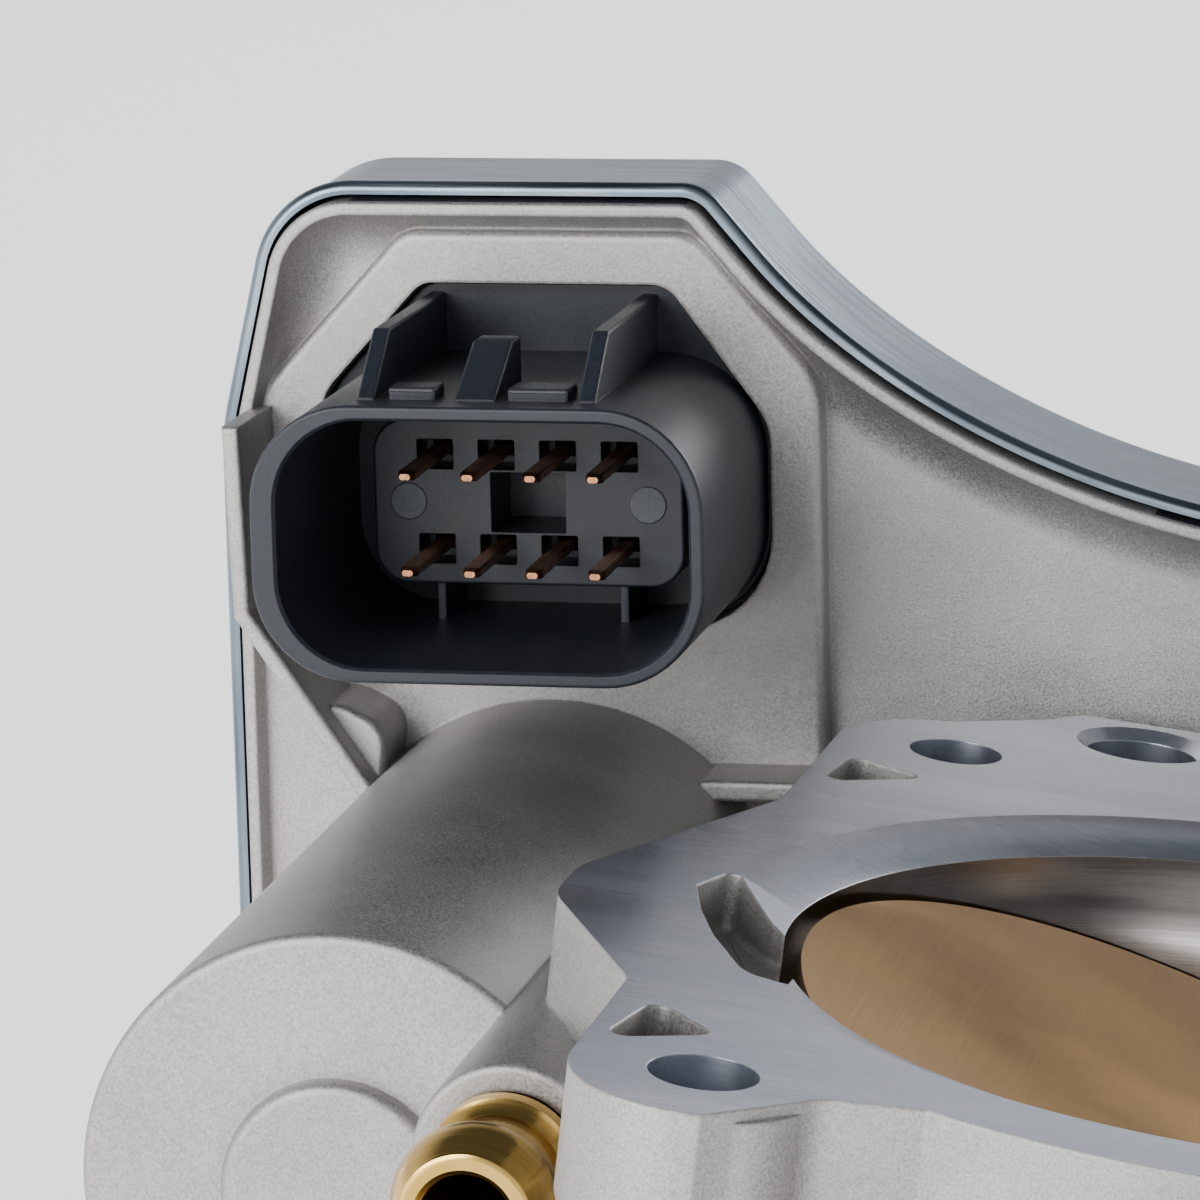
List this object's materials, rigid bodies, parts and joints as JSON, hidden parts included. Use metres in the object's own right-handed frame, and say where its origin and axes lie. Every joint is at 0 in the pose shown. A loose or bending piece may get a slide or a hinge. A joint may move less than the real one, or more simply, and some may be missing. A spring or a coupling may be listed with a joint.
{
  "type": "throttle body",
  "caption": "Electronic throttle body: cast bore and flange, geared motor drive, butterfly plate on a sprung shaft, moulded electrical socket and brass hose nipple.",
  "frame": {"origin": "centre of the bore on the machined face of the mounting flange", "axes": "+Z along the bore, out of the flange face; +Y along the throttle shaft, towards the gear case; +X away from the motor"},
  "size_m": [0.1681, 0.16, 0.1048],
  "materials": {
    "cast_aluminium": "fine-grained die casting, machined on the flange, bore and holes",
    "zinc_cover": "zinc-plated stamped steel with drawn streaks",
    "gasket_rubber": "smooth matt rubber",
    "connector_plastic": "glass-filled moulded plastic",
    "bronze_terminal": "bronze blades with a bright sheared tip",
    "steel": "ground steel",
    "gold_plate": "machined yellow metal with soft reflections",
    "brass": "turned brass",
    "gear_plastic": "natural acetal",
    "spring_steel": "dark spring steel",
    "magnet": "sintered ferrite and carbon",
    "copper": "turned copper",
    "board": "green circuit board"
  },
  "bodies": {
    "housing": {"throttle_housing": "cast_aluminium", "gear_cover": "zinc_cover", "cover_gasket": "gasket_rubber", "connector_housing": "connector_plastic", "terminal_1": "bronze_terminal", "terminal_2": "bronze_terminal", "terminal_3": "bronze_terminal", "terminal_4": "bronze_terminal", "terminal_5": "bronze_terminal", "terminal_6": "bronze_terminal", "terminal_7": "bronze_terminal", "terminal_8": "bronze_terminal", "motor_can": "steel", "motor_end_plate": "steel", "motor_screw_1": "steel", "motor_screw_2": "steel", "motor_magnet_1": "magnet", "motor_magnet_2": "magnet", "brush_holder": "connector_plastic", "brush_1": "magnet", "brush_2": "magnet", "idler_pin": "steel", "front_bearing": "steel", "rear_bearing": "steel", "front_seal": "gasket_rubber", "rear_seal": "gasket_rubber", "shaft_end_plug": "steel", "return_spring": "spring_steel", "hose_nipple": "brass", "sensor_board": "board"},
    "throttle": {"throttle_shaft": "steel", "throttle_plate": "gold_plate", "plate_screw_1": "steel", "plate_screw_2": "steel", "sector_gear": "gear_plastic", "sensor_magnet": "magnet"},
    "idler": {"idler_gear": "gear_plastic"},
    "motor_rotor": {"motor_shaft": "steel", "armature": "spring_steel", "commutator": "copper", "pinion_gear": "steel"}
  },
  "joints": [
    {"name": "throttle_turn", "type": "hinge", "parent": "housing", "child": "throttle", "pos_m": [0, 0, -0.017], "axis": [0, 1, 0], "range_deg": [-5, 70], "stiffness_Nm_per_rad": 0.3},
    {"name": "idler_spin", "type": "hinge", "parent": "housing", "child": "idler", "pos_m": [-0.04239, 0.09, -0.02001], "axis": [0, 1, 0], "range_deg": [-194.5, 13.9]},
    {"name": "motor_spin", "type": "hinge", "parent": "housing", "child": "motor_rotor", "pos_m": [-0.0736, 0.05, -0.02909], "axis": [0, 1, 0], "range_deg": [-58.4, 816.8]}
  ],
  "couplings": [
    {"joint": "idler_spin", "follows": "throttle_turn", "ratio": -2.7778},
    {"joint": "motor_spin", "follows": "throttle_turn", "ratio": 11.667}
  ]
}
